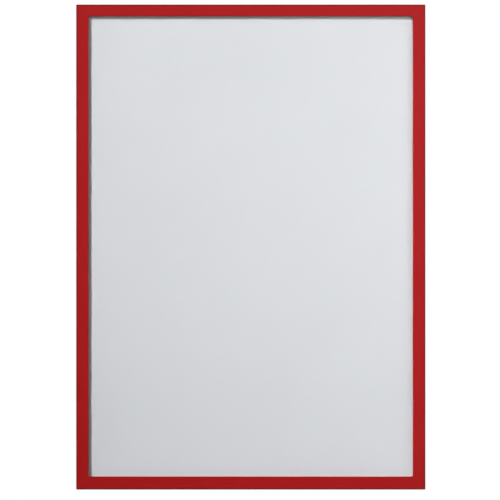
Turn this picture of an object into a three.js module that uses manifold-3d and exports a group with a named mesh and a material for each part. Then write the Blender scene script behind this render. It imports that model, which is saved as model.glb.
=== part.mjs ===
// A magnetic document pocket for one upright A4 sheet, in millimetres.
// +Z is up, +X is to the right of a reader, and the reader looks along +Y at the red front frame.
// The origin is the middle of the whole pocket. From front to back it is a stack of flat layers:
// frame, frame tapes, clear window film, seam tapes, white back sheet, magnet tapes, magnets.
// The seam tapes close the left, right and bottom sides. The top side is the slot for the sheet.

import * as THREE from 'three';
import { mergeVertices } from 'three/addons/utils/BufferGeometryUtils.js';
import Module from 'manifold-3d';

// The sheet that the pocket holds
const SHEET_WIDTH = 210;
const SHEET_HEIGHT = 297;
const SHEET_LAP = 1.4; // how far each edge of the sheet lies behind the frame
const SHEET_CLEARANCE = 0.6; // between an edge of the sheet and a seam tape

// The front frame
const SIDE_STRIP_WIDTH = 8;
const TOP_STRIP_WIDTH = 7.5;
const BOTTOM_STRIP_WIDTH = 8.3;
const FRAME_THICKNESS = 1.2;
const OUTER_CORNER_RADIUS = 0.6;
const WINDOW_CORNER_RADIUS = 1.2;
const OUTER_EDGE_ROUNDING = 0.35;
const WINDOW_EDGE_ROUNDING = 0.9;

// The sheets and tapes behind it
const FRAME_TAPE_THICKNESS = 0.2;
const FRAME_TAPE_INSET = 0.8; // from each edge of a strip of the frame
const WINDOW_FILM_THICKNESS = 0.25;
const SEAM_THICKNESS = 0.4; // also the depth of the space for the sheet
const SEAM_INSET = 0.5; // from the edge of the window film
const BACK_SHEET_THICKNESS = 0.5;
const SHEET_EDGE_INSET = 0.5; // of the window film and the back sheet, from the edge of the frame
const TAPE_JOINT_GAP = 0.5; // between the tapes that meet at a corner

// The magnets on the back
const MAGNET_WIDTH = 10;
const MAGNET_THICKNESS = 0.9;
const MAGNET_INSET = 1; // from the edge of the frame
const MAGNET_JOINT_GAP = 0.8; // between the strips that meet at a corner
const MAGNET_TAPE_THICKNESS = 0.2;
const MAGNET_TAPE_INSET = 0.5; // from the edges of the magnet that it carries

const CORNER_SEGMENTS = 6;
const ROUNDING_SEGMENTS = 5;

/** An upright rectangle seen from the front: left, right, bottom and top. */
class Rectangle {
  constructor(left, right, bottom, top) {
    Object.assign(this, { left, right, bottom, top });
  }

  get width() {
    return this.right - this.left;
  }

  get height() {
    return this.top - this.bottom;
  }

  /** The rectangle moved in by one distance on all four sides, or out where it is negative. */
  inset(distance) {
    return new Rectangle(
      this.left + distance,
      this.right - distance,
      this.bottom + distance,
      this.top - distance,
    );
  }
}

const windowWidth = SHEET_WIDTH - 2 * SHEET_LAP;
const windowHeight = SHEET_HEIGHT - 2 * SHEET_LAP;
const outerWidth = windowWidth + 2 * SIDE_STRIP_WIDTH;
const outerHeight = windowHeight + TOP_STRIP_WIDTH + BOTTOM_STRIP_WIDTH;

const outline = new Rectangle(-outerWidth / 2, outerWidth / 2, -outerHeight / 2, outerHeight / 2);
const windowOpening = new Rectangle(
  outline.left + SIDE_STRIP_WIDTH,
  outline.right - SIDE_STRIP_WIDTH,
  outline.bottom + BOTTOM_STRIP_WIDTH,
  outline.top - TOP_STRIP_WIDTH,
);
const sheetSpace = windowOpening.inset(-SHEET_LAP - SHEET_CLEARANCE);
const filmOutline = outline.inset(SHEET_EDGE_INSET);

const wasm = await Module();
wasm.setup();

const finishes = {
  frame: { color: 0xab2227, roughness: 0.45, metalness: 0 },
  film: { color: 0xe8edf0, roughness: 0.35, metalness: 0, transparent: true, opacity: 0.3 },
  backSheet: { color: 0xdfe2e5, roughness: 0.6, metalness: 0 },
  tape: { color: 0xd8d6cc, roughness: 0.7, metalness: 0 },
  magnet: { color: 0x2f2a28, roughness: 0.75, metalness: 0 },
};

/** A mesh from a geometry drawn face on, with its rear face at y and its depth towards the reader. */
function layerMesh(name, geometry, y, finish) {
  const mesh = new THREE.Mesh(geometry, new THREE.MeshStandardMaterial(finish));
  mesh.name = name;
  mesh.rotation.x = Math.PI / 2;
  mesh.position.y = y;
  return mesh;
}

/** A rectangle with round corners, as a shape or as a hole. */
function roundedOutline(rectangle, radius, Kind = THREE.Shape) {
  const { left, right, bottom, top } = rectangle;
  const path = new Kind();
  path.moveTo(left + radius, bottom);
  path.lineTo(right - radius, bottom);
  path.absarc(right - radius, bottom + radius, radius, -Math.PI / 2, 0);
  path.lineTo(right, top - radius);
  path.absarc(right - radius, top - radius, radius, 0, Math.PI / 2);
  path.lineTo(left + radius, top);
  path.absarc(left + radius, top - radius, radius, Math.PI / 2, Math.PI);
  path.lineTo(left, bottom + radius);
  path.absarc(left + radius, bottom + radius, radius, Math.PI, 1.5 * Math.PI);
  return path;
}

/** A flat sheet of one thickness, cut to a shape. */
function sheetGeometry(shape, thickness) {
  return new THREE.ExtrudeGeometry(shape, {
    depth: thickness,
    bevelEnabled: false,
    curveSegments: CORNER_SEGMENTS,
  });
}

/** A slab from -thickness to thickness, with each edge of the shape rounded at both faces. */
function roundedSlab(shape, thickness, rounding) {
  const slab = new THREE.ExtrudeGeometry(shape, {
    depth: 2 * (thickness - rounding),
    bevelEnabled: true,
    bevelThickness: rounding,
    bevelSize: rounding,
    bevelOffset: -rounding,
    bevelSegments: ROUNDING_SEGMENTS,
    curveSegments: CORNER_SEGMENTS,
  });
  return slab.translate(0, 0, rounding - thickness);
}

/** A straight strip that fills a rectangle. */
function stripGeometry(rectangle, thickness) {
  const strip = new THREE.BoxGeometry(rectangle.width, rectangle.height, thickness);
  const middleX = (rectangle.left + rectangle.right) / 2;
  const middleZ = (rectangle.bottom + rectangle.top) / 2;
  return strip.translate(middleX, middleZ, thickness / 2);
}

/** A closed three.js geometry as a solid that can be joined and cut. */
function solidOf(geometry) {
  const plain = geometry.clone();
  plain.deleteAttribute('normal');
  plain.deleteAttribute('uv');
  const merged = mergeVertices(plain, 1e-4);
  return new wasm.Manifold(
    new wasm.Mesh({
      numProp: 3,
      vertProperties: new Float32Array(merged.attributes.position.array),
      triVerts: new Uint32Array(merged.index.array),
    }),
  );
}

/** A solid as a flat-shaded three.js geometry. */
function geometryOf(solid) {
  const { vertProperties, triVerts } = solid.getMesh();
  const geometry = new THREE.BufferGeometry();
  geometry.setAttribute('position', new THREE.BufferAttribute(vertProperties, 3));
  geometry.setIndex(new THREE.BufferAttribute(triVerts, 1));
  const faceted = geometry.toNonIndexed();
  faceted.computeVertexNormals();
  return faceted;
}

/** The frame, flat behind: its front edge has a small round outside and a fuller one at the window. */
function frameGeometry() {
  const outerSlab = solidOf(
    roundedSlab(roundedOutline(outline, OUTER_CORNER_RADIUS), FRAME_THICKNESS, OUTER_EDGE_ROUNDING),
  );
  const spare = 2 * WINDOW_EDGE_ROUNDING;
  const wideShape = roundedOutline(outline.inset(-spare), OUTER_CORNER_RADIUS + spare);
  wideShape.holes.push(roundedOutline(windowOpening, WINDOW_CORNER_RADIUS, THREE.Path));
  const windowSlab = solidOf(roundedSlab(wideShape, FRAME_THICKNESS, WINDOW_EDGE_ROUNDING));
  const frontHalf = solidOf(stripGeometry(outline.inset(-FRAME_THICKNESS), 2 * FRAME_THICKNESS));
  return geometryOf(outerSlab.intersect(windowSlab).intersect(frontHalf));
}

/** Four strips round a rectangle, by side: the upright ones are as tall as it, the level ones fit between. */
function stripsAround(rectangle, widths, gap) {
  const { left, right, bottom, top } = rectangle;
  const innerLeft = left + widths.left;
  const innerRight = right - widths.right;
  return {
    left: new Rectangle(left, innerLeft, bottom, top),
    right: new Rectangle(innerRight, right, bottom, top),
    bottom: new Rectangle(innerLeft + gap, innerRight - gap, bottom, bottom + widths.bottom),
    top: new Rectangle(innerLeft + gap, innerRight - gap, top - widths.top, top),
  };
}

/** One strip mesh for each side, named from the prefix and the side. */
function stripMeshes(prefix, strips, thickness, y, finish) {
  return Object.entries(strips).map(([side, rectangle]) =>
    layerMesh(`${prefix}_${side}`, stripGeometry(rectangle, thickness), y, finish),
  );
}

/** The double-sided tapes between the frame and the window film. */
function frameTapes(y) {
  const strips = stripsAround(
    outline.inset(FRAME_TAPE_INSET),
    {
      left: SIDE_STRIP_WIDTH - 2 * FRAME_TAPE_INSET,
      right: SIDE_STRIP_WIDTH - 2 * FRAME_TAPE_INSET,
      bottom: BOTTOM_STRIP_WIDTH - 2 * FRAME_TAPE_INSET,
      top: TOP_STRIP_WIDTH - 2 * FRAME_TAPE_INSET,
    },
    TAPE_JOINT_GAP,
  );
  return stripMeshes('frame_tape', strips, FRAME_TAPE_THICKNESS, y, finishes.tape);
}

/** The tapes that close the pocket between its two sheets on the left, right and bottom. */
function seamTapes(y) {
  const seamOutline = filmOutline.inset(SEAM_INSET);
  const { left, right, bottom } = stripsAround(
    seamOutline,
    {
      left: sheetSpace.left - seamOutline.left,
      right: seamOutline.right - sheetSpace.right,
      bottom: sheetSpace.bottom - seamOutline.bottom,
      top: 0,
    },
    TAPE_JOINT_GAP,
  );
  return stripMeshes('seam_tape', { left, right, bottom }, SEAM_THICKNESS, y, finishes.tape);
}

/** Four strips behind the edges of the frame: the magnets or, inset from their edges, their tapes. */
function magnetRing(prefix, inset, thickness, y, finish) {
  const width = MAGNET_WIDTH - 2 * inset;
  const strips = stripsAround(
    outline.inset(MAGNET_INSET + inset),
    { left: width, right: width, bottom: width, top: width },
    MAGNET_JOINT_GAP + 2 * inset,
  );
  return stripMeshes(prefix, strips, thickness, y, finish);
}

/** The front frame, one piece. */
function frontFrame(y) {
  return [layerMesh('front_frame', frameGeometry(), y, finishes.frame)];
}

/** The clear sheet that the document is read through. */
function windowFilm(y) {
  const shape = roundedOutline(filmOutline, OUTER_CORNER_RADIUS);
  return [layerMesh('window_film', sheetGeometry(shape, WINDOW_FILM_THICKNESS), y, finishes.film)];
}

/** The opaque sheet that the document lies against. */
function backSheet(y) {
  const shape = roundedOutline(filmOutline, OUTER_CORNER_RADIUS);
  return [layerMesh('back_sheet', sheetGeometry(shape, BACK_SHEET_THICKNESS), y, finishes.backSheet)];
}

/** The strips that hold the pocket on steel. */
function magnets(y) {
  return magnetRing('magnet', 0, MAGNET_THICKNESS, y, finishes.magnet);
}

/** The tapes between the magnets and the back sheet. */
function magnetTapes(y) {
  return magnetRing('magnet_tape', MAGNET_TAPE_INSET, MAGNET_TAPE_THICKNESS, y, finishes.tape);
}

// From back to front: each layer's thickness, and the function that builds it from the y of its rear face
const layers = [
  [MAGNET_THICKNESS, magnets],
  [MAGNET_TAPE_THICKNESS, magnetTapes],
  [BACK_SHEET_THICKNESS, backSheet],
  [SEAM_THICKNESS, seamTapes],
  [WINDOW_FILM_THICKNESS, windowFilm],
  [FRAME_TAPE_THICKNESS, frameTapes],
  [FRAME_THICKNESS, frontFrame],
];

/** The whole pocket, with its layers stacked from the back towards the reader. */
function documentPocket() {
  const pocket = new THREE.Group();
  const depth = layers.reduce((sum, [thickness]) => sum + thickness, 0);
  let y = depth / 2;
  for (const [thickness, build] of layers) {
    pocket.add(...build(y));
    y -= thickness;
  }
  return pocket;
}

export default documentPocket();
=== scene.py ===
"""A magnetic document pocket for an upright A4 sheet, seen face on against white.

The pocket is a stack of flat layers. From the reader's side they are the red frame, its tapes, the
clear window film, the seam tapes, the pale back sheet, the magnets' tapes and the magnets.
Everything is in metres, with +Z up and the reader looking along +Y.
"""

import logging
import math
from abc import ABC, abstractmethod
from dataclasses import dataclass, field
from enum import Enum

import bmesh
import bpy
from mathutils import Matrix, Vector

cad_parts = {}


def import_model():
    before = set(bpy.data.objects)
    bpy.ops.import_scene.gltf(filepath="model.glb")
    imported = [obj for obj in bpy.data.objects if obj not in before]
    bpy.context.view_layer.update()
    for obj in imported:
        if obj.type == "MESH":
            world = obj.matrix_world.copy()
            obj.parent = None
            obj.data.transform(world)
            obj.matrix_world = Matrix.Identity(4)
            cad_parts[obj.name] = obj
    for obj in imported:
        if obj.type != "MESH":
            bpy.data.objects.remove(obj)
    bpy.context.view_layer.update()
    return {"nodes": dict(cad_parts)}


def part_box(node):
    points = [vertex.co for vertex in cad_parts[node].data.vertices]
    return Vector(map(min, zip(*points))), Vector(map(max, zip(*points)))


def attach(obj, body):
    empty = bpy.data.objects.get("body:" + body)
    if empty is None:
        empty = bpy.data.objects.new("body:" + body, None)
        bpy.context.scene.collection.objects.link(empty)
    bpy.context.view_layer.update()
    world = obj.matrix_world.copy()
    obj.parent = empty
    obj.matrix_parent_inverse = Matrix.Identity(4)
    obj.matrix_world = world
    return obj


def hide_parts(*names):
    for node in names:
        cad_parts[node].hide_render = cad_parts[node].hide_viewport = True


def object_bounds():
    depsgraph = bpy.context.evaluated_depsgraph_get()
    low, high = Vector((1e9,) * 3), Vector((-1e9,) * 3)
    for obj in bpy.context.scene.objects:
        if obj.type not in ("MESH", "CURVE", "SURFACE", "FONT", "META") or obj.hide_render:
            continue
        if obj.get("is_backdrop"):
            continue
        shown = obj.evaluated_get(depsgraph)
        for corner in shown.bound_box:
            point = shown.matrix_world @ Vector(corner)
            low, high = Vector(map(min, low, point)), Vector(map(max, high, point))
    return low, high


BODY = "root"
MM = 0.001

log = logging.getLogger("document_pocket")

Colour = tuple[float, float, float, float]
Place = tuple[float, float, float]
Pair = tuple[float, float]

WHITE: Colour = (1.0, 1.0, 1.0, 1.0)


class Slot(Enum):
    """The material slots of the pocket."""

    FRAME = "frame"
    WINDOW_FILM = "window_film"
    BACK_SHEET = "back_sheet"
    TAPE = "tape"
    MAGNET = "magnet"


class Side(Enum):
    """The four sides of the pocket, as the reader sees them."""

    LEFT = "left"
    RIGHT = "right"
    BOTTOM = "bottom"
    TOP = "top"


class Axis(Enum):
    """The directions that the edges of a flat piece run in."""

    ACROSS = 0
    THROUGH = 1
    UP = 2


def linear(red: int, green: int, blue: int) -> Colour:
    """Turns a colour as a screen shows it into the linear colour that shaders take.

    Args:
        red: Red, from 0 to 255.
        green: Green, from 0 to 255.
        blue: Blue, from 0 to 255.

    Returns:
        The linear colour, each channel from 0 to 1, and opaque.
    """

    def channel(value: int) -> float:
        """Returns one channel on the screens' usual curve."""
        share = value / 255
        return share / 12.92 if share <= 0.04045 else ((share + 0.055) / 1.055) ** 2.4

    return channel(red), channel(green), channel(blue), 1.0


class Graph:
    """A node tree with short calls that add nodes and join them."""

    def __init__(self, tree: bpy.types.NodeTree) -> None:
        """Keeps the tree and empties it."""
        self.tree = tree
        tree.nodes.clear()

    def add(
        self,
        kind: str,
        inputs: dict[str | int, object] | None = None,
        **settings: object,
    ) -> bpy.types.Node:
        """Adds a node.

        Args:
            kind: The node's type, without the words ShaderNode in front.
            inputs: A value, or another node's output, for each input by name or number.
            settings: Values for the node's own properties.

        Returns:
            The new node.
        """
        node = self.tree.nodes.new(kind if kind.startswith("Node") else f"ShaderNode{kind}")
        for name, value in settings.items():
            setattr(node, name, value)
        for name, value in (inputs or {}).items():
            self.fill(node.inputs[name], value)
        return node

    def fill(self, socket: bpy.types.NodeSocket, value: object) -> None:
        """Gives an input its value, or joins it to another node's output.

        Args:
            socket: The input.
            value: The value or the output.
        """
        if isinstance(value, bpy.types.NodeSocket):
            self.tree.links.new(value, socket)
        else:
            socket.default_value = value

    def coordinates(self) -> bpy.types.NodeSocket:
        """Returns the place of a point on the piece, in the piece's own coordinates."""
        return self.add("TexCoord").outputs["Object"]

    def math(self, operation: str, first: object, second: object) -> bpy.types.NodeSocket:
        """Returns the output of a Math node that works on two values or outputs."""
        return self.add("Math", {0: first, 1: second}, operation=operation).outputs[0]

    def vector(self, operation: str, *given: object) -> bpy.types.NodeSocket:
        """Returns the vector that a Vector Math node makes of one or two vectors."""
        return self.add("VectorMath", dict(enumerate(given)), operation=operation).outputs[0]

    def length(self, vector: bpy.types.NodeSocket) -> bpy.types.NodeSocket:
        """Returns the length of a vector."""
        return self.add("VectorMath", {0: vector}, operation="LENGTH").outputs["Value"]

    def ramp(
        self,
        value: bpy.types.NodeSocket,
        span: Pair,
        low: float = 0.0,
        high: float = 1.0,
        smooth: bool = False,
    ) -> bpy.types.NodeSocket:
        """Adds a ramp that is level before and after its span.

        Args:
            value: What the ramp follows.
            span: The value where the ramp starts and the one where it ends.
            low: What comes out at the start.
            high: What comes out at the end.
            smooth: Whether the ramp eases in and out.

        Returns:
            The ramp's output.
        """
        limits = {"Value": value, "From Min": span[0], "From Max": span[1], "To Min": low, "To Max": high}
        kind = "SMOOTHSTEP" if smooth else "LINEAR"
        return self.add("MapRange", limits, interpolation_type=kind).outputs["Result"]

    def between(self, share: bpy.types.NodeSocket, ends: Pair) -> bpy.types.NodeSocket:
        """Returns an output that runs from the first end to the second as the share runs from 0 to 1."""
        return self.ramp(share, (0.0, 1.0), *ends)

    def blend(self, share: object, first: object, second: object) -> bpy.types.NodeSocket:
        """Mixes two colours.

        Args:
            share: How much of the second colour there is, from 0 to 1.
            first: A colour or an output.
            second: A colour or an output.

        Returns:
            The mixed colour.
        """
        node = self.add("Mix", {0: share}, data_type="RGBA")
        colour_inputs = [socket for socket in node.inputs if socket.type == "RGBA"]
        for socket, value in zip(colour_inputs, [first, second]):
            self.fill(socket, value)
        return next(socket for socket in node.outputs if socket.type == "RGBA")


class Effects:
    """The shader node groups that several finishes share. Each is built once."""

    NOISE_MIDDLE: float = 0.5
    GRAIN_DETAIL: float = 1.0
    DRIFT_DETAIL: float = 4.0
    DRIFT_ROUGHNESS: float = 0.6
    SCUFF_SQUEEZE: Place = (1.0, 1.0, 0.12)
    SCUFFED_PATCHES_PER_METRE: float = 30.0
    SCUFFED_PATCH_START: float = 0.66

    def __init__(self) -> None:
        """Builds the groups."""
        self.grain = self._grain()
        self.drift = self._drift()
        self.scuffs = self._scuffs()

    @staticmethod
    def _new(name: str, inputs: dict[str, float], outputs: list[str]) -> Graph:
        """Starts a group with number inputs and number outputs.

        Args:
            name: The group's name.
            inputs: The default of each input, by name.
            outputs: The names of the outputs.

        Returns:
            The group's graph, empty but for its sockets.
        """
        tree = bpy.data.node_groups.new(name, "ShaderNodeTree")
        for title, value in inputs.items():
            socket = tree.interface.new_socket(title, in_out="INPUT", socket_type="NodeSocketFloat")
            socket.default_value = value
        for title in outputs:
            tree.interface.new_socket(title, in_out="OUTPUT", socket_type="NodeSocketFloat")
        return Graph(tree)

    def _grain(self) -> bpy.types.NodeTree:
        """Builds the fine pebbled grain of rolled vinyl and film.

        Returns:
            A group that gives a height from 0 to 1.
        """
        graph = self._new("surface grain", {"Pebbles per metre": 3000.0}, ["Height"])
        given = graph.add("NodeGroupInput").outputs
        pebbles = graph.add(
            "TexNoise",
            {
                "Vector": graph.coordinates(),
                "Scale": given["Pebbles per metre"],
                "Detail": self.GRAIN_DETAIL,
            },
        )
        graph.add("NodeGroupOutput", {"Height": pebbles.outputs[0]})
        return graph.tree

    def _drift(self) -> bpy.types.NodeTree:
        """Builds a slow unevenness of tone over a sheet.

        Returns:
            A group that gives a share from 0 to 1.
        """
        graph = self._new("tone drift", {"Patches per metre": 25.0, "Contrast": 1.0}, ["Share"])
        given = graph.add("NodeGroupInput").outputs
        noise = graph.add(
            "TexNoise",
            {
                "Vector": graph.coordinates(),
                "Scale": given["Patches per metre"],
                "Detail": self.DRIFT_DETAIL,
                "Roughness": self.DRIFT_ROUGHNESS,
            },
        )
        centred = graph.math("SUBTRACT", noise.outputs[0], self.NOISE_MIDDLE)
        spread = graph.math("MULTIPLY", centred, given["Contrast"])
        share = graph.add("Clamp", {"Value": graph.math("ADD", spread, self.NOISE_MIDDLE)})
        graph.add("NodeGroupOutput", {"Share": share.outputs[0]})
        return graph.tree

    def _scuffs(self) -> bpy.types.NodeTree:
        """Builds sparse hairlines from handling.

        Returns:
            A group that gives 1 on a hairline and 0 beside it.
        """
        graph = self._new(
            "handling scuffs",
            {"Lines per metre": 45.0, "Turn": 0.5, "Width": 0.01},
            ["Mask"],
        )
        given = graph.add("NodeGroupInput").outputs
        place = graph.coordinates()
        turn = graph.add("CombineXYZ", {"Y": given["Turn"]}).outputs[0]
        turned = graph.add("Mapping", {"Vector": place, "Rotation": turn, "Scale": self.SCUFF_SQUEEZE})
        folds = graph.add(
            "TexNoise",
            {"Vector": turned.outputs[0], "Scale": given["Lines per metre"], "Detail": 0.0},
        )
        level = graph.math("ABSOLUTE", graph.math("SUBTRACT", folds.outputs[0], self.NOISE_MIDDLE), 0.0)
        near = graph.math("LESS_THAN", level, given["Width"])
        patches = graph.add(
            "TexNoise",
            {"Vector": place, "Scale": self.SCUFFED_PATCHES_PER_METRE, "Detail": 0.0},
        )
        some = graph.math("GREATER_THAN", patches.outputs[0], self.SCUFFED_PATCH_START)
        graph.add("NodeGroupOutput", {"Mask": graph.math("MULTIPLY", near, some)})
        return graph.tree


class Finish(ABC):
    """A surface finish, made as one material."""

    slot: Slot

    def make(self, effects: Effects) -> bpy.types.Material:
        """Builds the material.

        Args:
            effects: The shared node groups.

        Returns:
            The finished material.
        """
        material = bpy.data.materials.new(f"{self.slot.value} finish")
        material.use_nodes = True
        graph = Graph(material.node_tree)
        shader = self.shade(graph, effects)
        graph.add("OutputMaterial", {"Surface": shader})
        return material

    @abstractmethod
    def shade(self, graph: Graph, effects: Effects) -> bpy.types.NodeSocket:
        """Adds the finish's nodes.

        Args:
            graph: The material's graph.
            effects: The shared node groups.

        Returns:
            The shader's output.
        """

    @staticmethod
    def place(graph: Graph, group: bpy.types.NodeTree, values: dict[str, float]) -> bpy.types.NodeSocket:
        """Places a shared group with its own values.

        Args:
            graph: The material's graph.
            group: The shared group.
            values: The value of each of its inputs, by name.

        Returns:
            The group's first output.
        """
        node = graph.add("Group", node_tree=group)
        for name, value in values.items():
            node.inputs[name].default_value = value
        return node.outputs[0]

    def drift(
        self,
        graph: Graph,
        effects: Effects,
        per_metre: float,
        contrast: float,
    ) -> bpy.types.NodeSocket:
        """Places the slow unevenness of tone.

        Args:
            graph: The material's graph.
            effects: The shared node groups.
            per_metre: How many patches it has to the metre.
            contrast: How far the patches differ, where 1 is the plain noise.

        Returns:
            A share from 0 to 1.
        """
        return self.place(graph, effects.drift, {"Patches per metre": per_metre, "Contrast": contrast})

    def grain(self, graph: Graph, effects: Effects, per_metre: float) -> bpy.types.NodeSocket:
        """Places the fine grain, with so many pebbles to the metre, and returns its height."""
        return self.place(graph, effects.grain, {"Pebbles per metre": per_metre})

    @staticmethod
    def bump(
        graph: Graph,
        height: bpy.types.NodeSocket,
        depth: float,
        strength: float,
    ) -> bpy.types.NodeSocket:
        """Raises the surface by a height.

        Args:
            graph: The material's graph.
            height: The height, from 0 to 1.
            depth: How high 1 stands, in metres.
            strength: How much of the effect shows, from 0 to 1.

        Returns:
            The normal.
        """
        node = graph.add("Bump", {"Height": height, "Distance": depth, "Strength": strength})
        return node.outputs["Normal"]


@dataclass(frozen=True)
class SatinVinyl(Finish):
    """The frame's red rigid vinyl: a satin sheen, a very fine grain, and painted shade as a darker band along
    the outer edge.
    """

    half_width: float
    half_height: float
    slot: Slot = Slot.FRAME
    colour: Colour = linear(173, 25, 27)
    deeper: Colour = linear(167, 21, 24)
    patches_per_metre: float = 35.0
    patch_contrast: float = 1.6
    # painted shade: a darker red along the outer edge, standing in for the shade of its rounding
    edge: Colour = linear(130, 23, 24)
    edge_shade_width: float = 0.7 * MM
    edge_shade_fade: float = 1.15 * MM  # where the painted edge shade has faded out, from the outer edge
    roughness: Pair = (0.28, 0.36)
    specular: float = 0.3
    grain_per_metre: float = 2600.0
    grain_depth: float = 0.02 * MM
    grain_strength: float = 0.35

    def shade(self, graph: Graph, effects: Effects) -> bpy.types.NodeSocket:
        """Adds the vinyl's nodes.

        Args:
            graph: The material's graph.
            effects: The shared node groups.

        Returns:
            The shader's output.
        """
        drift = self.drift(graph, effects, self.patches_per_metre, self.patch_contrast)
        grain = self.grain(graph, effects, self.grain_per_metre)
        even = graph.blend(drift, self.deeper, self.colour)
        # the base colour takes the painted edge shade along the outer edge
        shader = graph.add(
            "BsdfPrincipled",
            {
                "Base Color": graph.blend(self._painted_edge_shade(graph), even, self.edge),
                "Roughness": graph.between(drift, self.roughness),
                "Specular IOR Level": self.specular,
                "Normal": self.bump(graph, grain, self.grain_depth, self.grain_strength),
            },
        )
        return shader.outputs["BSDF"]

    def _painted_edge_shade(self, graph: Graph) -> bpy.types.NodeSocket:
        """Marks the band along the frame's outer edge where shade is painted.

        Args:
            graph: The material's graph.

        Returns:
            A mask that is 1 along the outer edge and 0 further in.
        """
        from_middle = graph.vector("ABSOLUTE", graph.coordinates())
        beyond = graph.vector("SUBTRACT", from_middle, (self.half_width, 0.0, self.half_height))
        sides = graph.add("SeparateXYZ", {0: beyond}).outputs
        nearest = graph.math("MAXIMUM", sides["X"], sides["Z"])
        return graph.ramp(nearest, (-self.edge_shade_fade, -self.edge_shade_width))


@dataclass(frozen=True)
class AntiGlareFilm(Finish):
    """The clear window: nearly all light passes, with a faint milky haze and a blurred gloss."""

    slot: Slot = Slot.WINDOW_FILM
    haze_colour: Colour = linear(236, 239, 243)
    haze: Pair = (0.012, 0.022)  # the least and the most of the milky share
    haze_roughness: float = 0.6
    patches_per_metre: float = 18.0
    patch_contrast: float = 1.8
    gloss_roughness: float = 0.26
    gloss_face_on: float = 0.04
    gloss_rise: float = 5.0
    grain_per_metre: float = 2200.0
    grain_depth: float = 0.02 * MM
    grain_strength: float = 0.3
    mark_colour: Colour = linear(150, 150, 152)
    mark_place: Place = (73.8 * MM, 0.0, 36.5 * MM)
    mark_size: Pair = (2.2 * MM, 0.7 * MM)  # from its middle, across and up
    mark_fade: Pair = (0.4, 1.0)  # in shares of its size
    mark_strength: float = 0.05
    scuffs_per_metre: float = 38.0
    scuff_turn: float = 0.6
    scuff_width: float = 0.004  # how far the noise may be from its middle on a hairline
    scuff_strength: float = 0.006

    def shade(self, graph: Graph, effects: Effects) -> bpy.types.NodeSocket:
        """Adds the film's nodes.

        Args:
            graph: The material's graph.
            effects: The shared node groups.

        Returns:
            The shader's output.
        """
        mark = self._mark(graph)
        clear = graph.add("BsdfTransparent", {"Color": WHITE})
        milk = graph.add(
            "BsdfPrincipled",
            {
                "Base Color": graph.blend(mark, self.haze_colour, self.mark_colour),
                "Roughness": self.haze_roughness,
                "Specular IOR Level": 0.0,
            },
        )
        haze = self._haze(graph, effects, mark)
        body = graph.add("MixShader", {0: haze, 1: clear.outputs[0], 2: milk.outputs[0]})
        grain = self.grain(graph, effects, self.grain_per_metre)
        normal = self.bump(graph, grain, self.grain_depth, self.grain_strength)
        gloss = graph.add(
            "BsdfAnisotropic",
            {"Color": WHITE, "Roughness": self.gloss_roughness, "Normal": normal},
        )
        aslant = graph.add("LayerWeight", {"Blend": 0.5}).outputs["Facing"]
        steep = graph.math("POWER", aslant, self.gloss_rise)
        mirrored = graph.between(steep, (self.gloss_face_on, 1.0))
        return graph.add("MixShader", {0: mirrored, 1: body.outputs[0], 2: gloss.outputs[0]}).outputs[0]

    def _haze(self, graph: Graph, effects: Effects, mark: bpy.types.NodeSocket) -> bpy.types.NodeSocket:
        """Works out how milky the film is.

        Args:
            graph: The material's graph.
            effects: The shared node groups.
            mark: The mask of the rubbed mark.

        Returns:
            The share of milky film, from 0 to 1.
        """
        drift = self.drift(graph, effects, self.patches_per_metre, self.patch_contrast)
        lines = {"Lines per metre": self.scuffs_per_metre, "Turn": self.scuff_turn, "Width": self.scuff_width}
        scuffed = graph.math("MULTIPLY", self.place(graph, effects.scuffs, lines), self.scuff_strength)
        marked = graph.math("MULTIPLY", mark, self.mark_strength)
        return graph.math("ADD", graph.between(drift, self.haze), graph.math("MAXIMUM", scuffed, marked))

    def _mark(self, graph: Graph) -> bpy.types.NodeSocket:
        """Marks the one small rubbed place of the window.

        Args:
            graph: The material's graph.

        Returns:
            A mask that is 1 on the mark and 0 beside it.
        """
        offset = graph.vector("SUBTRACT", graph.coordinates(), self.mark_place)
        shrink = (1 / self.mark_size[0], 0.0, 1 / self.mark_size[1])
        distance = graph.length(graph.vector("MULTIPLY", offset, shrink))
        return graph.ramp(distance, self.mark_fade, 1.0, 0.0)


@dataclass(frozen=True)
class MattSheet(Finish):
    """The opaque pale sheet behind the document: matt, cool and slightly pebbled."""

    slot: Slot = Slot.BACK_SHEET
    colour: Colour = linear(231, 233, 236)
    duller: Colour = linear(227, 229, 232)
    patches_per_metre: float = 12.0
    patch_contrast: float = 1.4
    roughness: Pair = (0.52, 0.64)
    specular: float = 0.3
    grain_per_metre: float = 1500.0
    grain_depth: float = 0.05 * MM
    grain_strength: float = 0.4

    def shade(self, graph: Graph, effects: Effects) -> bpy.types.NodeSocket:
        """Adds the sheet's nodes.

        Args:
            graph: The material's graph.
            effects: The shared node groups.

        Returns:
            The shader's output.
        """
        drift = self.drift(graph, effects, self.patches_per_metre, self.patch_contrast)
        grain = self.grain(graph, effects, self.grain_per_metre)
        shader = graph.add(
            "BsdfPrincipled",
            {
                "Base Color": graph.blend(drift, self.duller, self.colour),
                "Roughness": graph.between(drift, self.roughness),
                "Specular IOR Level": self.specular,
                "Normal": self.bump(graph, grain, self.grain_depth, self.grain_strength),
            },
        )
        return shader.outputs["BSDF"]


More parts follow.
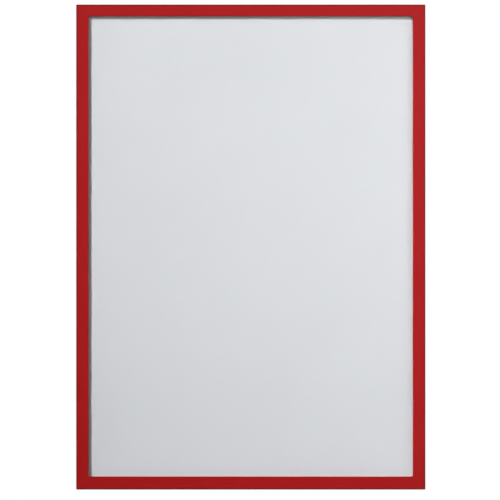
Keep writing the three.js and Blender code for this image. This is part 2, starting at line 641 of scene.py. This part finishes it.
@dataclass(frozen=True)
class AdhesiveTape(Finish):
    """Double-sided tape seen on its edge: off-white and matt, with fibres in it."""

    slot: Slot = Slot.TAPE
    colour: Colour = linear(220, 216, 204)
    darker: Colour = linear(198, 193, 180)
    fibres_per_metre: float = 600.0
    fibre_contrast: float = 2.0
    fibre_height: float = 0.05 * MM
    fibre_strength: float = 0.3
    roughness: Pair = (0.6, 0.8)
    specular: float = 0.3
    soaked_light: float = 0.25
    soak_depth: float = 0.4 * MM

    def shade(self, graph: Graph, effects: Effects) -> bpy.types.NodeSocket:
        """Adds the tape's nodes.

        Args:
            graph: The material's graph.
            effects: The shared node groups.

        Returns:
            The shader's output.
        """
        fibres = self.drift(graph, effects, self.fibres_per_metre, self.fibre_contrast)
        shader = graph.add(
            "BsdfPrincipled",
            {
                "Base Color": graph.blend(fibres, self.darker, self.colour),
                "Roughness": graph.between(fibres, self.roughness),
                "Subsurface Weight": self.soaked_light,
                "Subsurface Radius": (self.soak_depth, self.soak_depth, self.soak_depth),
                "Specular IOR Level": self.specular,
                "Normal": self.bump(graph, fibres, self.fibre_height, self.fibre_strength),
            },
        )
        return shader.outputs["BSDF"]


@dataclass(frozen=True)
class MagnetRubber(Finish):
    """Flexible magnet strip: dark brown rubber full of ferrite, with the draw lines of its die."""

    slot: Slot = Slot.MAGNET
    colour: Colour = linear(58, 50, 46)
    darker: Colour = linear(40, 35, 33)
    patches_per_metre: float = 60.0
    patch_contrast: float = 1.8
    speck: Colour = linear(86, 78, 72)
    specks_per_metre: float = 3500.0
    speck_start: float = 0.5
    speck_strength: float = 0.35
    along: Vector = field(default_factory=lambda: Vector((0.0, 0.0, 1.0)))
    lines_per_metre: float = 2400.0
    line_detail: float = 2.0
    line_stretch: float = 0.985
    line_height: float = 0.08 * MM
    line_strength: float = 0.5
    roughness: Pair = (0.55, 0.78)
    specular: float = 0.4

    def shade(self, graph: Graph, effects: Effects) -> bpy.types.NodeSocket:
        """Adds the rubber's nodes.

        Args:
            graph: The material's graph.
            effects: The shared node groups.

        Returns:
            The shader's output.
        """
        drift = self.drift(graph, effects, self.patches_per_metre, self.patch_contrast)
        grain = self.grain(graph, effects, self.specks_per_metre)
        bright = graph.math("GREATER_THAN", grain, self.speck_start)
        specks = graph.math("MULTIPLY", bright, self.speck_strength)
        lines = self._draw_lines(graph)
        shader = graph.add(
            "BsdfPrincipled",
            {
                "Base Color": graph.blend(specks, graph.blend(drift, self.darker, self.colour), self.speck),
                "Roughness": graph.between(lines, self.roughness),
                "Specular IOR Level": self.specular,
                "Normal": self.bump(graph, lines, self.line_height, self.line_strength),
            },
        )
        return shader.outputs["BSDF"]

    def _draw_lines(self, graph: Graph) -> bpy.types.NodeSocket:
        """Draws a noise out along the strip.

        Args:
            graph: The material's graph.

        Returns:
            The height of the lines, from 0 to 1.
        """
        squeeze = tuple(1.0 - self.line_stretch * abs(part) for part in self.along)
        drawn = graph.add("Mapping", {"Vector": graph.coordinates(), "Scale": squeeze})
        lines = graph.add(
            "TexNoise",
            {"Vector": drawn.outputs[0], "Scale": self.lines_per_metre, "Detail": self.line_detail},
        )
        return lines.outputs[0]


@dataclass(frozen=True)
class Outline:
    """An upright rectangle with rounded corners, as the reader sees it."""

    left: float
    bottom: float
    right: float
    top: float
    radius: float
    least_radius: float = 0.05 * MM
    corner_steps: int = 8

    def grown(self, by: float) -> "Outline":
        """Returns the outline that lies this far outside, or inside where it is below zero."""
        radius = max(self.radius + by, self.least_radius)
        return Outline(self.left - by, self.bottom - by, self.right + by, self.top + by, radius)

    def points(self, depth: float) -> list[Vector]:
        """Works out the outline's points.

        Args:
            depth: The y of all of them.

        Returns:
            The points, in order round the outline.
        """
        left, right = self.left + self.radius, self.right - self.radius
        bottom, top = self.bottom + self.radius, self.top - self.radius
        corners = [(right, bottom, -90), (right, top, 0), (left, top, 90), (left, bottom, 180)]
        found = []
        for x, z, start in corners:
            for step in range(self.corner_steps + 1):
                angle = math.radians(start + 90 * step / self.corner_steps)
                across = x + self.radius * math.cos(angle)
                up = z + self.radius * math.sin(angle)
                found.append(Vector((across, depth, up)))
        return found


class Sculptor:
    """Short calls that shape one bmesh and turn it into a finished piece."""

    SHARP_DEGREES: float = 40.0
    CORNER_DEGREES: float = 20.0
    STRAIGHT_SHARE: float = 0.999
    JOIN_DISTANCE: float = 1e-7

    def __init__(self) -> None:
        """Starts with nothing in the mesh."""
        self.mesh = bmesh.new()

    def slab(self, low: Vector, high: Vector) -> None:
        """Makes a plain flat piece that fills a box."""
        self.sheet(low, high)
        self.thicken(high.y - low.y)

    def sheet(self, low: Vector, high: Vector, across: int = 1, up: int = 1) -> None:
        """Makes an upright sheet at low.y that faces the reader.

        Args:
            low: The lowest corner of the piece.
            high: The highest corner of the piece.
            across: How many faces it has from left to right.
            up: How many faces it has from bottom to top.
        """
        made = bmesh.ops.create_grid(self.mesh, x_segments=across, y_segments=up, size=0.5)
        middle = (low + high) / 2
        stand = Matrix.Rotation(math.pi / 2, 4, "X")
        grow = Matrix.Diagonal((high.x - low.x, 1.0, high.z - low.z, 1.0))
        move = Matrix.Translation((middle.x, low.y, middle.z))
        bmesh.ops.transform(self.mesh, matrix=move @ grow @ stand, verts=made["verts"])

    def ring(self, loops: list[list[Vector]]) -> None:
        """Bridges closed loops into one closed ring, each to the next and the last to the first.

        Args:
            loops: The points of each loop, as many in each and all in the same order.
        """
        rows = [self._loop(points) for points in loops]
        for row, following in zip(rows, [*rows[1:], rows[0]]):
            bmesh.ops.bridge_loops(self.mesh, edges=[*row, *following])

    def _loop(self, points: list[Vector]) -> list[bmesh.types.BMEdge]:
        """Adds a closed loop of edges through the points and returns its edges."""
        verts = [self.mesh.verts.new(point) for point in points]
        return [self.mesh.edges.new(pair) for pair in zip(verts, [*verts[1:], verts[0]])]

    def thicken(self, depth: float) -> None:
        """Gives every face of a sheet a wall behind it, and closes it at the rear.

        Args:
            depth: How deep the wall is.
        """
        front = list(self.mesh.faces)
        made = bmesh.ops.extrude_face_region(self.mesh, geom=front, use_keep_orig=True)
        rear = [item for item in made["geom"] if isinstance(item, bmesh.types.BMVert)]
        bmesh.ops.translate(self.mesh, verts=rear, vec=(0.0, depth, 0.0))
        bmesh.ops.recalc_face_normals(self.mesh, faces=self.mesh.faces)

    def round_edges(self, edges: list[bmesh.types.BMEdge], radius: float, segments: int) -> None:
        """Rounds edges.

        Args:
            edges: The edges.
            radius: The radius that they are rounded to.
            segments: How many faces each round has.
        """
        bmesh.ops.bevel(
            self.mesh,
            geom=edges,
            offset=radius,
            offset_type="OFFSET",
            segments=segments,
            profile=0.5,
            affect="EDGES",
            material=-1,
            clamp_overlap=True,
        )

    def folded_edges(self, degrees: float) -> list[bmesh.types.BMEdge]:
        """Returns the edges between two faces that meet at more than an angle."""
        pairs = (edge for edge in self.mesh.edges if len(edge.link_faces) == 2)
        return [edge for edge in pairs if edge.calc_face_angle() > math.radians(degrees)]

    def edges_along(self, axis: Axis) -> list[bmesh.types.BMEdge]:
        """Finds the corner edges that run along one axis.

        Args:
            axis: The axis.

        Returns:
            The edges.
        """
        found = []
        for edge in self.folded_edges(self.CORNER_DEGREES):
            run = edge.verts[1].co - edge.verts[0].co
            if abs(run[axis.value]) > self.STRAIGHT_SHARE * run.length:
                found.append(edge)
        return found

    def piece(self, name: str, material: bpy.types.Material, slot: Slot) -> bpy.types.Object:
        """Turns the mesh into a finished piece that rides with the pocket.

        Args:
            name: The piece's name.
            material: Its material.
            slot: The record's slot that the material stands for. It is not used.

        Returns:
            The new object.
        """
        bmesh.ops.remove_doubles(self.mesh, verts=self.mesh.verts, dist=self.JOIN_DISTANCE)
        bmesh.ops.recalc_face_normals(self.mesh, faces=self.mesh.faces)
        for face in self.mesh.faces:
            face.smooth = True
        for edge in self.mesh.edges:
            edge.smooth = edge.calc_face_angle(math.pi) < math.radians(self.SHARP_DEGREES)
        data = bpy.data.meshes.new(name)
        self.mesh.to_mesh(data)
        self.mesh.free()
        data.materials.append(material)
        made = bpy.data.objects.new(name, data)
        bpy.context.scene.collection.objects.link(made)
        shading = made.modifiers.new("even shading", "WEIGHTED_NORMAL")
        shading.keep_sharp = True
        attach(made, BODY)
        return made


class Layer(ABC):
    """One layer of the pocket, of one piece or more."""

    @abstractmethod
    def build(self) -> list[bpy.types.Object]:
        """Builds and dresses the layer's pieces and returns them."""


@dataclass
class FrontFrame(Layer):
    """The one-piece red frame, flat, with its corners and its front edges rounded."""

    material: bpy.types.Material
    side_strip: float = 8.0 * MM
    top_strip: float = 7.5 * MM
    bottom_strip: float = 8.3 * MM
    corner_radius: float = 0.6 * MM
    window_corner_radius: float = 1.2 * MM
    edge_rounding: float = 0.3 * MM
    window_rounding: float = 0.3 * MM
    steps: int = 6

    def build(self) -> list[bpy.types.Object]:
        """Builds the frame in place of its plain solid.

        Returns:
            The frame.
        """
        low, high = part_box("front_frame")
        outer = Outline(low.x, low.z, high.x, high.z, self.corner_radius)
        window = Outline(
            low.x + self.side_strip,
            low.z + self.bottom_strip,
            high.x - self.side_strip,
            high.z - self.top_strip,
            self.window_corner_radius,
        )
        loops = [outer.points(high.y)]
        for inset, depth in self._rounding(self.edge_rounding):
            loops.append(outer.grown(-inset).points(low.y + depth))
        for inset, depth in reversed(self._rounding(self.window_rounding)):
            loops.append(window.grown(inset).points(low.y + depth))
        loops.append(window.points(high.y))
        work = Sculptor()
        work.ring(loops)
        made = work.piece("red_frame", self.material, Slot.FRAME)
        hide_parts("front_frame")
        return [made]

    def _rounding(self, radius: float) -> list[Pair]:
        """Returns how far in and how deep a rounded edge lies, from its wall up to its face."""
        angles = [math.pi / 2 * step / self.steps for step in range(self.steps + 1)]
        return [(radius * (1 - math.cos(angle)), radius * (1 - math.sin(angle))) for angle in angles]


@dataclass
class WindowFilm(Layer):
    """The clear film: taut at its taped edges and very slightly rippled between them."""

    material: bpy.types.Material
    across: int = 44
    up: int = 62
    ripple: float = 0.05 * MM
    flat_border: float = 12.0 * MM
    steep_wave: Pair = (41.0, 9.0)  # radians per metre, across and up
    level_wave: Pair = (-17.0, 33.0)  # radians per metre, across and up
    level_wave_share: float = 0.7

    def build(self) -> list[bpy.types.Object]:
        """Builds the film in place of its plain solid.

        Returns:
            The film.
        """
        low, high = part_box("window_film")
        work = Sculptor()
        work.sheet(low, high, self.across, self.up)
        for vert in work.mesh.verts:
            vert.co.y += self._height(vert.co, low, high)
        work.thicken(high.y - low.y)
        made = work.piece("clear_film", self.material, Slot.WINDOW_FILM)
        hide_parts("window_film")
        return [made]

    def _height(self, place: Vector, low: Vector, high: Vector) -> float:
        """Works out how far the film stands in or out, fading to nothing at its edges.

        Args:
            place: The place on the film.
            low: The lowest corner of the film.
            high: The highest corner of the film.

        Returns:
            The height, in metres.
        """
        edge = min(place.x - low.x, high.x - place.x, place.z - low.z, high.z - place.z)
        fade = min(max(edge / self.flat_border - 1.0, 0.0), 1.0)
        steep, level = (math.sin(place.x * x + place.z * z) for x, z in (self.steep_wave, self.level_wave))
        wave = steep + self.level_wave_share * level
        return self.ripple * fade * fade * (3.0 - 2.0 * fade) * wave / (1.0 + self.level_wave_share)


@dataclass
class BackSheet(Layer):
    """The opaque sheet behind the document, cut with a fine eased edge."""

    material: bpy.types.Material
    corner_radius: float = 0.6 * MM
    corner_segments: int = 6
    eased_edge: float = 0.08 * MM
    edge_segments: int = 2
    rim_degrees: float = 60.0

    def build(self) -> list[bpy.types.Object]:
        """Builds the sheet in place of its plain solid.

        Returns:
            The sheet.
        """
        work = Sculptor()
        work.slab(*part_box("back_sheet"))
        work.round_edges(work.edges_along(Axis.THROUGH), self.corner_radius, self.corner_segments)
        work.round_edges(work.folded_edges(self.rim_degrees), self.eased_edge, self.edge_segments)
        made = work.piece("rear_panel", self.material, Slot.BACK_SHEET)
        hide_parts("back_sheet")
        return [made]


@dataclass
class MagnetStrips(Layer):
    """The four magnet strips on the back, with eased edges and square cut ends."""

    upright: bpy.types.Material
    level: bpy.types.Material
    eased_edge: float = 0.14 * MM
    edge_segments: int = 3

    def build(self) -> list[bpy.types.Object]:
        """Builds the strips in place of their plain solids and returns them."""
        return [self._strip(side) for side in Side]

    def _strip(self, side: Side) -> bpy.types.Object:
        """Builds one strip.

        Args:
            side: The side of the pocket that it lies on.

        Returns:
            The strip.
        """
        node = f"magnet_{side.value}"
        runs_up = side in (Side.LEFT, Side.RIGHT)
        material = self.upright if runs_up else self.level
        work = Sculptor()
        work.slab(*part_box(node))
        long_edges = work.edges_along(Axis.UP if runs_up else Axis.ACROSS)
        work.round_edges(long_edges, self.eased_edge, self.edge_segments)
        made = work.piece(f"{node}_strip", material, Slot.MAGNET)
        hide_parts(node)
        return made


@dataclass
class Tapes(Layer):
    """The double-sided tapes, which keep their plain solids."""

    nodes: dict[str, bpy.types.Object]
    material: bpy.types.Material

    def build(self) -> list[bpy.types.Object]:
        """Gives every tape its finish.

        Returns:
            The tapes.
        """
        tapes = [made for name, made in sorted(self.nodes.items()) if "tape" in name]
        for tape in tapes:
            tape.data.materials.clear()
            tape.data.materials.append(self.material)
        return tapes


@dataclass(frozen=True)
class Lamp:
    """A soft lamp: its place, its size, its power, where it points and how wide its beam is."""

    name: str
    place: Place
    size: Pair
    power: float
    aim: Place = (0.0, 0.0, 0.0)
    beam_degrees: float = 180.0

    def build(self) -> bpy.types.Object:
        """Adds the lamp to the scene.

        Returns:
            The lamp.
        """
        data = bpy.data.lights.new(self.name, "AREA")
        data.shape = "RECTANGLE"
        data.size, data.size_y = self.size
        data.energy = self.power
        data.spread = math.radians(self.beam_degrees)
        made = bpy.data.objects.new(self.name, data)
        made.location = self.place
        way = Vector(self.aim) - Vector(self.place)
        made.rotation_euler = way.to_track_quat("-Z", "Y").to_euler()
        bpy.context.scene.collection.objects.link(made)
        return made


@dataclass
class Studio:
    """A camera face on to the pocket, soft lamps, a white surround and a pale floor."""

    frame_pixels: float = 500.0
    pixels_per_metre: float = 1565.0
    middle_in_pixels: Pair = (250.77, 247.06)
    lens: float = 150.0
    sensor: float = 36.0
    nearest_seen: float = 0.05
    floor_drop: float = 0.45
    floor_radius: float = 1.1
    floor_sides: int = 64
    floor_fade: Pair = (0.55, 0.98)  # in shares of the floor's radius
    floor_colour: Colour = (0.9, 0.9, 0.9, 1.0)
    floor_roughness: float = 0.7
    floor_glow: float = 0.2
    room_level: float = 0.02
    mirrored_level: float = 0.95
    mirrored_rise: float = 0.65  # how much a ray's way up counts beside its way to the right
    mirrored_span: Pair = (-0.06, 0.20)  # of the two together
    ahead_span: Pair = (-0.5, -0.9)  # of the ray's y
    behind_span: Pair = (0.0, 0.5)  # of the ray's y
    lamps: tuple[Lamp, ...] = (
        Lamp(
            "key, upper left",
            (-2.24, -2.286, 2.28),
            (0.3, 0.3),
            power=2.47,
            aim=(0.06, 0.0, 0.0),
            beam_degrees=21.0,
        ),
        Lamp("fill, left", (-1.2, -1.3, -0.2), (0.8, 1.0), power=1.85),
        Lamp("fill, right", (0.5, -0.6, 0.27), (0.35, 0.4), power=0.62),
        Lamp("low light, right", (0.5, -0.2, 0.2), (0.3, 0.4), power=1.1),
        Lamp("rear light, left", (1.0, 1.5, 0.9), (1.0, 1.0), power=26.0),
        Lamp("rear light, right", (-1.2, 1.2, 0.1), (0.8, 1.2), power=11.0),
    )

    def build(self) -> None:
        """Builds the whole studio."""
        self._camera()
        for lamp in self.lamps:
            lamp.build()
        self._surround()
        self._floor()

    def _camera(self) -> None:
        """Adds the camera, level and square to the window."""
        low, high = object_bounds()
        middle = (low + high) / 2
        distance = self.frame_pixels / self.pixels_per_metre * self.lens / self.sensor
        across, down = (
            (pixel - self.frame_pixels / 2) / self.pixels_per_metre for pixel in self.middle_in_pixels
        )
        data = bpy.data.cameras.new("camera")
        data.lens = self.lens
        data.sensor_width = self.sensor
        data.clip_start = self.nearest_seen
        camera = bpy.data.objects.new("camera", data)
        camera.location = (middle.x - across, low.y - distance, middle.z + down)
        camera.rotation_euler = (math.pi / 2, 0.0, 0.0)
        bpy.context.scene.collection.objects.link(camera)
        bpy.context.scene.camera = camera

    def _surround(self) -> None:
        """Makes the world, which is white to the camera and lights the pocket only a little."""
        world = bpy.data.worlds.new("surround")
        world.use_nodes = True
        graph = Graph(world.node_tree)
        path = graph.add("LightPath").outputs
        mirrored = graph.math("MULTIPLY", path["Is Glossy Ray"], self._mirrored(graph))
        seen = graph.math("MAXIMUM", path["Is Camera Ray"], path["Is Transmission Ray"])
        strength = graph.math("MAXIMUM", graph.math("MAXIMUM", seen, mirrored), self.room_level)
        light = graph.add("Background", {"Color": WHITE, "Strength": strength})
        graph.add("OutputWorld", {"Surface": light.outputs[0]})
        bpy.context.scene.world = world

    def _mirrored(self, graph: Graph) -> bpy.types.NodeSocket:
        """Works out what the gloss mirrors: white behind, and a soft bright upper right in front.

        Args:
            graph: The world's graph.

        Returns:
            The brightness in a ray's direction.
        """
        way = graph.add("SeparateXYZ", {0: graph.add("TexCoord").outputs["Generated"]}).outputs
        slant = graph.math("ADD", way["X"], graph.math("MULTIPLY", way["Z"], self.mirrored_rise))
        bright = graph.ramp(slant, self.mirrored_span, high=self.mirrored_level, smooth=True)
        in_front = graph.math("MULTIPLY", bright, graph.ramp(way["Y"], self.ahead_span))
        return graph.math("MAXIMUM", in_front, graph.ramp(way["Y"], self.behind_span))

    def _floor(self) -> None:
        """Makes a round pale floor well below the pocket, which fades into the white at its rim."""
        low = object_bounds()[0]
        work = bmesh.new()
        bmesh.ops.create_circle(work, cap_ends=True, radius=self.floor_radius, segments=self.floor_sides)
        bmesh.ops.translate(work, verts=work.verts, vec=(0.0, 0.0, low.z - self.floor_drop))
        data = bpy.data.meshes.new("floor")
        work.to_mesh(data)
        work.free()
        data.materials.append(self._floor_material())
        floor = bpy.data.objects.new("floor", data)
        bpy.context.scene.collection.objects.link(floor)
        floor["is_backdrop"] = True

    def _floor_material(self) -> bpy.types.Material:
        """Makes the floor's material, clear at the rim.

        Returns:
            The material.
        """
        material = bpy.data.materials.new("floor finish")
        material.use_nodes = True
        graph = Graph(material.node_tree)
        shrink = 1.0 / self.floor_radius
        centred = graph.add("Mapping", {"Vector": graph.coordinates(), "Scale": (shrink, shrink, 0.0)})
        from_middle = graph.length(centred.outputs[0])
        seen = graph.add("LightPath").outputs["Is Camera Ray"]
        paint = graph.add(
            "BsdfPrincipled",
            {
                "Base Color": self.floor_colour,
                "Roughness": self.floor_roughness,
                "Alpha": graph.ramp(from_middle, self.floor_fade, 1.0, 0.0, smooth=True),
                "Emission Color": WHITE,
                "Emission Strength": graph.math("MULTIPLY", seen, self.floor_glow),
            },
        )
        graph.add("OutputMaterial", {"Surface": paint.outputs["BSDF"]})
        return material


def main() -> None:
    """Builds the pocket and its studio."""
    logging.basicConfig(level=logging.INFO, format="%(message)s")
    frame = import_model()
    bpy.context.scene.view_settings.view_transform = "Standard"
    effects = Effects()
    upright_magnet = MagnetRubber().make(effects)
    level_magnet = MagnetRubber(along=Vector((1.0, 0.0, 0.0))).make(effects)
    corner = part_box("front_frame")[1]
    layers: list[Layer] = [
        FrontFrame(SatinVinyl(corner.x, corner.z).make(effects)),
        WindowFilm(AntiGlareFilm().make(effects)),
        BackSheet(MattSheet().make(effects)),
        MagnetStrips(upright_magnet, level_magnet),
        Tapes(frame["nodes"], AdhesiveTape().make(effects)),
    ]
    for layer in layers:
        for piece in layer.build():
            log.info("built %s", piece.name)
    Studio().build()
    log.info("built the studio")


if __name__ == "__main__":
    main()
